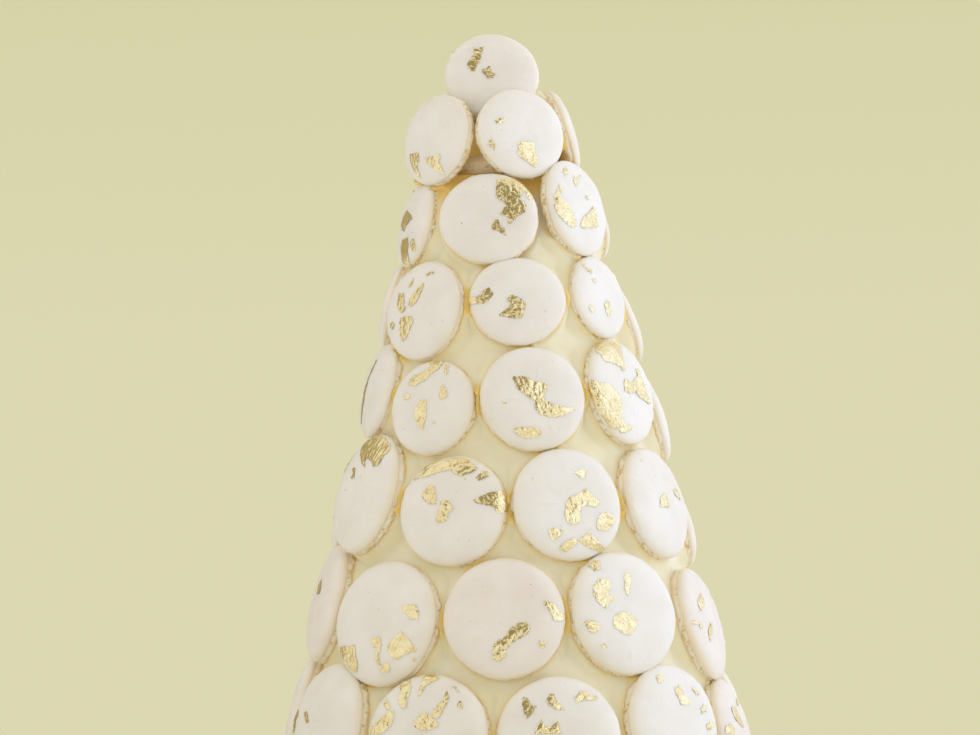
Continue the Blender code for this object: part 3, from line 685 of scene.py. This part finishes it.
def smears(points, height):
    """How far the smeared icing stands out away from the shells: knife strokes, and a lip round the top."""
    strokes = noise(points / np.array([1, 1, 0.3]), 26 * MM, 71)
    strokes += 0.5 * noise(points / np.array([1, 1, 0.35]), 9 * MM, 72)
    swell = ICING_SWELL * (1 + 0.55 * strokes) + ICING_GRAIN * noise(points, 4 * MM, 73)
    swell *= step_up(height, PLATE_THICKNESS, PLATE_THICKNESS + 6 * MM)
    swell *= 1 - step_up(height, CONE_TOP - 9 * MM, CONE_TOP - 2 * MM)
    return swell + ICING_LIP * np.exp(-((height - CONE_TOP + 2.5 * MM) / (2.2 * MM)) ** 2)


def raise_to_backs(radius, axis, outward, seats):
    """Swells the icing out to the shells' flat backs, and tells how near each point is to the nearest two."""
    collar = ICING_COLLAR * (1 + 0.4 * noise(axis + outward * radius[:, None], 7 * MM, 75))
    best = np.full(len(radius), -1.0)
    near = np.full((2, len(radius)), 1.0)
    lid = np.full(len(radius), 1.0)
    for seat in seats:
        slant = outward @ seat.normal
        reach = ((seat.centre - axis) @ seat.normal) / np.where(slant > BACK_SLANT, slant, 1.0)
        hit = axis + outward * reach[:, None] - seat.centre
        from_middle = np.hypot(hit @ seat.across / (seat.width / 2), hit @ seat.up / (seat.height / 2))
        gap = (from_middle - 0.97) * seat.radius
        usable = (slant > BACK_SLANT) & (gap < 3 * ICING_REACH) & (np.abs(reach - radius) < BACK_REACH)
        swell = np.clip(reach - radius, -ICING_LIMIT, ICING_LIMIT) * (1 - step_up(gap, 0, ICING_REACH))
        swell += collar * np.exp(-np.clip(gap - 0.4 * MM, 0, None) / (1.5 * MM))
        best = np.where(usable, np.maximum(best, swell), best)
        away = np.where(usable, np.abs(gap), 1.0)
        near[1] = np.minimum(near[1], np.maximum(near[0], away))
        near[0] = np.minimum(near[0], away)
        lid = np.where(usable & (gap < ICING_GAP), np.minimum(lid, reach + collar), lid)
    squeeze = ICING_SQUEEZE * (1 - step_up(near.sum(axis=0), 0.8 * MM, 4.5 * MM))
    return np.minimum(radius + np.maximum(best, 0) + squeeze, lid), near


def cut_slot(radius, height, bearing):
    """Draws the icing in all round but at the back, between the cone's top and the mound."""
    slot = step_up(height, CONE_TOP - 0.5 * MM, CONE_TOP + 0.5 * MM)
    slot *= 1 - step_up(height, MOUND_BULGE - 3 * MM, MOUND_BULGE - 1 * MM)
    slot *= step_up(np.cos(bearing), -0.35, -0.1)
    return radius * (1 - slot) + np.minimum(radius, SLOT_RADIUS) * slot


def keep_under(radius, axis, outward, crown):
    """Keeps the mound's icing clear of the crown shell's flat back."""
    slant = outward @ crown.normal
    below = slant > CROWN_SLANT
    reach = ((crown.centre - axis) @ crown.normal) / np.where(below, slant, 1.0) - ICING_GAP
    return np.where(below, np.minimum(radius, np.maximum(reach, 0.5 * MM)), radius)


def painted_seam_shade(points, height, bearing, near):
    """How much painted golden shade the icing gets: against a shell, between two, and in the hollow at the
    cone's top. The icing's painted glow follows the same share.
    """
    drift = 0.6 * MM * noise(points, 3 * MM, 74)
    painted_shade_and_glow = 0.5 * (1 - step_up(near[0] + drift, 0.2 * MM, 2.0 * MM))
    painted_shade_and_glow += 0.95 * (1 - step_up(near[0] + near[1] + drift, 1.0 * MM, 5.0 * MM))
    hollow = step_up(height, CONE_TOP - 14 * MM, CONE_TOP - 3 * MM)
    hollow *= 1 - step_up(height, MOUND_BULGE + 2 * MM, MOUND_BULGE + 8 * MM)
    hollow *= step_up(np.cos(bearing), -0.5, 0.0)
    return np.clip(painted_shade_and_glow + PAINTED_HOLLOW_SHADE * hollow, 0, PAINTED_SHADE_MAX)


def make_icing(seats, material):
    """The cone's icing: one skin from the plate to the tip, smeared on and swelling between the shells."""
    radius, height, bearing = icing_grid()
    outward = np.stack([np.sin(bearing), -np.cos(bearing), np.zeros_like(bearing)], axis=1)
    axis = np.stack([icing_centre(height), np.zeros_like(height), height], axis=1)
    smooth = axis + outward * radius[:, None]
    ring_seats = [seat for node, seat in seats.items() if node not in ("macaron_flat", "macaron_top")]
    full, near = raise_to_backs(radius + smears(smooth, height), axis, outward, ring_seats)
    full = cut_slot(full, height, bearing)
    full = keep_under(full, axis, outward, seats["macaron_top"])
    tip = [MOUND_CENTRE_X, 0, MOUND_TOP + 0.2 * MM]
    points = np.concatenate([axis + outward * full[:, None], [tip]])
    rows = len(radius) // ICING_COLUMNS
    last = (rows - 1) * ICING_COLUMNS
    faces = [tuple(face[::-1]) for face in grid_faces(rows, ICING_COLUMNS)]
    faces += [(len(radius), last + i, last + (i + 1) % ICING_COLUMNS) for i in range(ICING_COLUMNS)]
    icing = make_mesh("icing", points, faces, [material])
    # Painted shade and painted glow where the icing meets the shells and in the hollow at the cone's top
    add_value(icing, "painted_shade_and_glow", np.append(painted_seam_shade(smooth, height, bearing, near), 0))
    return icing


def make_plate(material):
    """The plain round foot plate, with a softened edge and a shallow foot ring."""
    turn = np.linspace(0, 2 * np.pi, PLATE_COLUMNS, endpoint=False)
    points = []
    for radius, height in PLATE_OUTLINE:
        for angle in turn:
            points.append((radius * MM * math.cos(angle), radius * MM * math.sin(angle), height * MM))
    faces = [tuple(face) for face in grid_faces(len(PLATE_OUTLINE), PLATE_COLUMNS)]
    last = (len(PLATE_OUTLINE) - 1) * PLATE_COLUMNS
    faces.append(tuple(range(PLATE_COLUMNS)))
    faces.append(tuple(last + i for i in reversed(range(PLATE_COLUMNS))))
    plate = make_mesh("foot_plate", points, faces, [material])
    plate.data.set_sharp_from_angle(angle=PLATE_CREASE)
    return plate


# The gold leaf

def ragged(corners, seed, tear):
    """A flake's torn edge, from its corners in metres on the unrolled dome."""
    rng = np.random.default_rng(seed)
    edge = []
    for start, end in zip(corners, np.roll(corners, -1, axis=0)):
        length = np.hypot(*(end - start))
        for share in np.arange(0, 1, LEAF_EDGE / max(length, LEAF_EDGE)):
            slip = min(tear, length / 3) if share else 0.0
            edge.append(start + (end - start) * share + rng.uniform(-1, 1, 2) * slip)
    return np.array(edge)


def fill_outline(edge, rng):
    """A flake's points and triangles inside its torn edge, and which of the points are on that edge."""
    low, high = np.min(edge, axis=0), np.max(edge, axis=0)
    inner = []
    for i, x in enumerate(np.arange(low[0], high[0], LEAF_GRAIN)):
        for y in np.arange(low[1] + (i % 2) * LEAF_GRAIN / 2, high[1], LEAF_GRAIN):
            inner.append((x, y) + rng.uniform(-0.3, 0.3, 2) * LEAF_GRAIN)
    count = len(edge)
    loop = [(i, (i + 1) % count) for i in range(count)]
    points = [Vector(p) for p in edge] + [Vector(p) for p in inner]
    found = delaunay_2d_cdt(points, loop, [list(range(count))], 1, 0.01 * MM)
    torn = np.array([not before or min(before) < count for before in found[3]])
    return np.array([p[:] for p in found[0]]), found[2], torn


def flake_patch(corners, seat, seed):
    """The points and triangles of one flake, laid over its shell, and the grain that its creases follow."""
    rng = np.random.default_rng(seed)
    wear = 1 + LEAF_WEAR * step_up(seat.normal[0], *WORN_SIDE)
    edge = ragged(np.array(corners) * seat.radius, seed, LEAF_TEAR * wear)
    flat, triangles, torn = fill_outline(edge, rng)
    heading = rng.uniform(0, np.pi)
    along = flat @ (math.cos(heading), math.sin(heading))
    beside = flat @ (-math.sin(heading), math.cos(heading))
    over = np.hypot(flat[:, 0], flat[:, 1]) / seat.radius
    around = np.arctan2(flat[:, 1], flat[:, 0])
    bed = on_shell(seat, over, around)
    sheet = np.stack([along, beside * 0.5, np.full(len(flat), seed * 1.7 * MM)], axis=1)
    from_edge = np.linalg.norm(flat[:, None] - edge[None], axis=2).min(axis=1)
    loose = 0.4 + 0.6 * step_up(from_edge, 0, LEAF_HEM)
    lift = LEAF_LIFT + dome_lumps(bed, over, seat.seed) + shell_warp(bed, seat.seed)
    lift += LEAF_CRINKLE * wear * noise(bed, 0.8 * MM, seed + 4)
    for size, rise in FACETS:
        lift += rise * wear ** FACET_WEAR * crumple(sheet, size, seed + 3) * rng.uniform(0.65, 1.0) * loose
    lift += LEAF_CURL * torn * rng.uniform(0, 1, len(flat))
    grain = np.stack([along / (0.8 * MM), beside / (1.6 * MM), np.full(len(flat), seed * 1.7)], axis=1)
    return on_shell(seat, over, around, lift), triangles, grain


def scrap(x, y, width, height, heading, rng):
    """The corners of a small torn scrap around a point."""
    turns = np.sort(rng.uniform(0, 2 * np.pi, SCRAP_CORNERS))
    along = np.cos(turns) * width / 2 * rng.uniform(0.6, 1.2, SCRAP_CORNERS)
    beside = np.sin(turns) * height / 2 * rng.uniform(0.6, 1.2, SCRAP_CORNERS)
    cos, sin = math.cos(heading), math.sin(heading)
    return np.stack([x + along * cos - beside * sin, y + along * sin + beside * cos], axis=1)


def chance_flakes(rng, numbers, widths):
    """Scraps of leaf strewn over a shell by chance, with their corners in shell radii."""
    flakes = []
    for _ in range(rng.integers(*numbers)):
        away = math.sqrt(rng.uniform(0.0, 0.7))
        where = rng.uniform(0, 2 * np.pi)
        width = rng.uniform(*widths)
        height = width * rng.uniform(0.35, 0.8)
        heading = rng.uniform(0, np.pi)
        flakes.append(scrap(away * math.cos(where), away * math.sin(where), width, height, heading, rng))
    return flakes


def make_gold(seats, material):
    """All the gold leaf, as one mesh: the flakes, and the crumbs that fell off them."""
    rng = np.random.default_rng(17)
    points, faces, grains, start = [], [], [], 0
    for number, (node, seat) in enumerate(sorted(seats.items())):
        flakes = [np.array(flake).reshape(-1, 2) / 100 for flake in FLAKES.get(node, ())]
        if not flakes and node not in BARE:
            flakes = chance_flakes(rng, SCRAPS_PER_SHELL, SCRAP_WIDTH)
        flakes += chance_flakes(rng, CRUMBS_PER_SHELL, CRUMB_WIDTH)
        for i, flake in enumerate(flakes):
            laid, triangles, grain = flake_patch(flake, seat, 100 * number + 7 * i)
            points.append(laid)
            grains.append(grain)
            faces += [tuple(start + corner for corner in face) for face in triangles]
            start += len(laid)
    gold = make_mesh("gold_leaf", np.concatenate(points), faces, [material], flat=True)
    grain = gold.data.attributes.new("grain", "FLOAT_VECTOR", "POINT")
    grain.data.foreach_set("vector", np.concatenate(grains).astype(np.float32).ravel())


# Materials

def new_material(name, roughness, metallic=0.0):
    """A material with its Principled BSDF, and the texture coordinates in metres."""
    made = bpy.data.materials.new(name)
    made.use_nodes = True
    shader = made.node_tree.nodes["Principled BSDF"]
    shader.inputs["Roughness"].default_value = roughness
    shader.inputs["Metallic"].default_value = metallic
    place = made.node_tree.nodes.new("ShaderNodeTexCoord")
    return made, shader, place.outputs["Object"]


def add_noise(made, place, size, detail=3.0):
    """Noise whose features are about this many metres across."""
    node = made.node_tree.nodes.new("ShaderNodeTexNoise")
    node.inputs["Scale"].default_value = 1 / size
    node.inputs["Detail"].default_value = detail
    made.node_tree.links.new(place, node.inputs["Vector"])
    return node.outputs["Fac"]


def add_ramp(made, value, stops):
    """Colours along a value, from (position, colour) pairs."""
    node = made.node_tree.nodes.new("ShaderNodeValToRGB")
    ramp = node.color_ramp
    while len(ramp.elements) < len(stops):
        ramp.elements.new(0.5)
    for element, (position, colour) in zip(ramp.elements, stops):
        element.position = position
        element.color = (*colour, 1.0)
    made.node_tree.links.new(value, node.inputs["Fac"])
    return node.outputs["Color"]


def add_mix(made, share, first, second, blend="MIX"):
    """Two colours mixed by a share. The share and the colours are numbers or another node's outputs."""
    node = made.node_tree.nodes.new("ShaderNodeMix")
    node.data_type = "RGBA"
    node.blend_type = blend
    if isinstance(share, float):
        node.inputs["Factor"].default_value = share
    else:
        made.node_tree.links.new(share, node.inputs["Factor"])
    for name, colour in (("A", first), ("B", second)):
        socket = next(i for i in node.inputs if i.name == name and i.type == "RGBA")
        if isinstance(colour, tuple):
            socket.default_value = (*colour, 1.0)
        else:
            made.node_tree.links.new(colour, socket)
    return next(o for o in node.outputs if o.type == "RGBA")


def add_range(made, value, low, high, start=0.0, end=1.0):
    """A value that goes from start to end, moved into the range from low to high."""
    node = made.node_tree.nodes.new("ShaderNodeMapRange")
    node.inputs["From Min"].default_value = start
    node.inputs["From Max"].default_value = end
    node.inputs["To Min"].default_value = low
    node.inputs["To Max"].default_value = high
    made.node_tree.links.new(value, node.inputs["Value"])
    return node.outputs["Result"]


def add_bump(made, shader, value, distance, strength, under=None):
    """Fine relief of this depth, over any relief that is there already."""
    node = made.node_tree.nodes.new("ShaderNodeBump")
    node.inputs["Distance"].default_value = distance
    node.inputs["Strength"].default_value = strength
    made.node_tree.links.new(value, node.inputs["Height"])
    if under is not None:
        made.node_tree.links.new(under, node.inputs["Normal"])
    made.node_tree.links.new(node.outputs["Normal"], shader.inputs["Normal"])
    return node.outputs["Normal"]


def add_attribute(made, name, output="Fac"):
    """What the mesh keeps under this name for each vertex."""
    node = made.node_tree.nodes.new("ShaderNodeAttribute")
    node.attribute_name = name
    return node.outputs[output]


def set_colour(made, shader, colour):
    """Colours the surface with another node's output."""
    made.node_tree.links.new(colour, shader.inputs["Base Color"])


def vary_roughness(made, shader, value, low, high):
    """Makes the surface rougher and smoother by turns, along a noise."""
    made.node_tree.links.new(add_range(made, value, low, high), shader.inputs["Roughness"])


def soften(shader, weight, reach):
    """Lets light through the surface, further for the warm colours."""
    shader.inputs["Subsurface Weight"].default_value = weight
    shader.inputs["Subsurface Radius"].default_value = SUBSURFACE_REACH
    shader.inputs["Subsurface Scale"].default_value = reach


def cap_material(tint):
    """A baked almond cap: smooth and faintly mottled, with a satin skin, a few specks and a painted warm
    shade on its rolled rim.
    """
    light, dark, painted_rim_shade_colour = CAP_TINTS[tint]
    made, shader, place = new_material(f"cap_{tint}", 0.42)
    mottle = add_ramp(made, add_noise(made, place, 14 * MM), ((0.35, dark), (0.65, light)))
    specks = add_ramp(made, add_noise(made, place, 1.1 * MM, 1.0), SPECKS)
    colour = add_mix(made, 0.55, mottle, specks, "MULTIPLY")
    # The rim's colour is painted warm shade, standing for light through the shell at the rolled edge
    set_colour(made, shader, add_mix(made, add_attribute(made, "rim_painted_shade"), colour, painted_rim_shade_colour))
    vary_roughness(made, shader, add_noise(made, place, 5 * MM), 0.34, 0.52)
    coarse = add_bump(made, shader, add_noise(made, place, 6 * MM), 0.35 * MM, 0.35)
    add_bump(made, shader, add_noise(made, place, 0.7 * MM, 4.0), 0.08 * MM, 0.45, coarse)
    shader.inputs["Specular IOR Level"].default_value = 0.45
    soften(shader, 0.35, 3.5 * MM)
    return made


def foot_material():
    """The ruffled foot: dry and cream-coloured, with painted shade in its burst bubbles and along its lower
    edge.
    """
    made, shader, place = new_material("foot", 0.75)
    body = add_ramp(made, add_noise(made, place, 2.2 * MM, 4.0), FOOT_BODY)
    # The darker colour is painted shade in the bubbles and along the lower edge
    set_colour(made, shader, add_mix(made, add_attribute(made, "pit_and_edge_painted_shade"), body, FOOT_PAINTED_SHADE))
    coarse = add_bump(made, shader, add_noise(made, place, 1.1 * MM, 4.0), 0.4 * MM, 0.6)
    add_bump(made, shader, add_noise(made, place, 0.35 * MM, 3.0), 0.15 * MM, 0.5, coarse)
    soften(shader, 0.3, 2 * MM)
    return made


def icing_material():
    """Lemon-cream icing, satin where the knife has passed, with painted golden shade where it meets a shell.

    The faint glow in the seams is painted light: an emission that stands for light coming through the icing
    from its lit side.
    """
    made, shader, place = new_material("icing", 0.4)
    body = add_ramp(made, add_noise(made, place, 22 * MM, 3.0), ICING_BODY)
    # Painted golden shade where the icing meets the shells and in the hollow at the cone's top
    set_colour(made, shader, add_mix(made, add_attribute(made, "painted_shade_and_glow"), body, ICING_PAINTED_SEAM_SHADE))
    vary_roughness(made, shader, add_noise(made, place, 8 * MM), 0.32, 0.5)
    coarse = add_bump(made, shader, add_noise(made, place, 9 * MM, 2.0), 0.6 * MM, 0.4)
    add_bump(made, shader, add_noise(made, place, 1.4 * MM, 3.0), 0.08 * MM, 0.35, coarse)
    soften(shader, 0.5, 4 * MM)
    # Painted glow: the icing gives off a faint warm light where it has painted shade
    glow = add_range(made, add_attribute(made, "painted_shade_and_glow"), 0.0, PAINTED_SEAM_GLOW)
    made.node_tree.links.new(glow, shader.inputs["Emission Strength"])
    shader.inputs["Emission Color"].default_value = (*PAINTED_GLOW_COLOUR, 1.0)
    return made


def gold_material():
    """Gold leaf: thin pale metal with fine creases that run one way on each flake, with painted shade and
    painted glints along them.
    """
    made, shader, place = new_material("gold_leaf", 0.25, 1.0)
    creases = add_noise(made, add_attribute(made, "grain", "Vector"), 1.0, 4.0)
    creases.node.inputs["Distortion"].default_value = 0.7
    broad = add_ramp(made, add_noise(made, place, 5 * MM, 2.0), GOLD_BROAD)
    # The crease colours are painted shade and painted glints along the creases
    set_colour(made, shader, add_mix(made, 0.3, broad, add_ramp(made, creases, GOLD_CREASE_PAINTED_GLINT_AND_SHADE)))
    vary_roughness(made, shader, add_noise(made, place, 1.0 * MM), 0.08, 0.26)
    coarse = add_bump(made, shader, creases, 0.16 * MM, 0.55)
    add_bump(made, shader, add_noise(made, place, 0.5 * MM, 3.0), 0.1 * MM, 0.3, coarse)
    return made


def plate_material():
    """A plain glazed cream-white plate."""
    made, shader, place = new_material("plate_glaze", 0.28)
    set_colour(made, shader, add_ramp(made, add_noise(made, place, 30 * MM), PLATE_GLAZE))
    add_bump(made, shader, add_noise(made, place, 12 * MM), 0.2 * MM, 0.15)
    shader.inputs["Coat Weight"].default_value = 0.3
    return made


# The room

def make_floor():
    """A pale round floor that fades out before it reaches the view of the front."""
    bpy.ops.mesh.primitive_circle_add(
        vertices=FLOOR_COLUMNS, radius=FLOOR_RADIUS, fill_type="NGON", location=(0, 0, 0)
    )
    floor = bpy.context.active_object
    floor.name = "floor"
    made, shader, place = new_material("floor", 0.8)
    shader.inputs["Base Color"].default_value = (*FLOOR_COLOUR, 1.0)
    away = made.node_tree.nodes.new("ShaderNodeVectorMath")
    away.operation = "LENGTH"
    made.node_tree.links.new(place, away.inputs[0])
    fade = add_range(made, away.outputs["Value"], 1.0, 0.0, FLOOR_FADE, FLOOR_RADIUS - FLOOR_HEM)
    made.node_tree.links.new(fade, shader.inputs["Alpha"])
    floor.data.materials.append(made)


def make_world():
    """A pale-yellow wall all round. It lights the tower paler than it shows; gold mirrors darker parts."""
    world = bpy.data.worlds.new("room")
    bpy.context.scene.world = world
    world.use_nodes = True
    tree = world.node_tree
    place = tree.nodes.new("ShaderNodeTexCoord").outputs["Generated"]
    path = tree.nodes.new("ShaderNodeLightPath")
    mirrored = add_mix(world, 1.0, GLOW, GLOW)
    for direction, edge, middle, colour in ROOM_PARTS:
        towards = tree.nodes.new("ShaderNodeVectorMath")
        towards.operation = "DOT_PRODUCT"
        towards.inputs[1].default_value = direction
        tree.links.new(place, towards.inputs[0])
        share = add_range(world, towards.outputs["Value"], 0.0, 1.0, edge, middle)
        share.node.interpolation_type = "SMOOTHSTEP"
        mirrored = add_mix(world, share, mirrored, colour)
    upward = tree.nodes.new("ShaderNodeSeparateXYZ")
    tree.links.new(place, upward.inputs[0])
    high = add_range(world, upward.outputs["Z"], 0.0, 1.0, *WALL_BAND)
    wall = add_mix(world, high, WALL, WALL_HIGH)
    colour = add_mix(world, path.outputs["Is Glossy Ray"], GLOW, mirrored)
    colour = add_mix(world, path.outputs["Is Camera Ray"], colour, wall)
    tree.links.new(colour, tree.nodes["Background"].inputs["Color"])


def make_window():
    """A soft cool light from the right, as a window gives it, which the gold doesn't mirror."""
    data = bpy.data.lights.new("window", "AREA")
    data.energy = WINDOW_POWER
    data.shape = "RECTANGLE"
    data.size = WINDOW_SIZE
    data.size_y = WINDOW_SIZE
    data.color = WINDOW_COLOUR
    light = bpy.data.objects.new("window", data)
    bpy.context.scene.collection.objects.link(light)
    light.location = WINDOW_PLACE
    light.rotation_euler = (Vector(WINDOW_AIM) - Vector(WINDOW_PLACE)).to_track_quat("-Z", "Y").to_euler()
    light.visible_glossy = False


def make_camera():
    """Level with the tower's middle, square to its front, from far enough that the rings look flat."""
    data = bpy.data.cameras.new("camera")
    data.lens = CAMERA_LENS
    data.sensor_width = CAMERA_SENSOR
    camera = bpy.data.objects.new("camera", data)
    bpy.context.scene.collection.objects.link(camera)
    camera.location = CAMERA_PLACE
    camera.rotation_euler = (math.radians(90), CAMERA_ROLL, 0)
    bpy.context.scene.camera = camera


def main():
    """Dresses every piece of the tower, and sets it in its room."""
    shells = sorted(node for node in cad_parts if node.startswith("macaron"))
    seats = {node: seat_of(node) for node in shells}
    caps = {tint: cap_material(tint) for tint in CAP_TINTS}
    foot = foot_material()
    rng = np.random.default_rng(5)
    for node in shells:
        make_shell(node, seats[node], caps[tint_of(node, rng)], foot)
    icing = make_icing(seats, icing_material())
    plate = make_plate(plate_material())
    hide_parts("stand")
    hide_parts("stand")
    make_gold(seats, gold_material())
    make_floor()
    make_world()
    make_window()
    make_camera()
    bpy.context.scene.view_settings.view_transform = "Standard"


main()
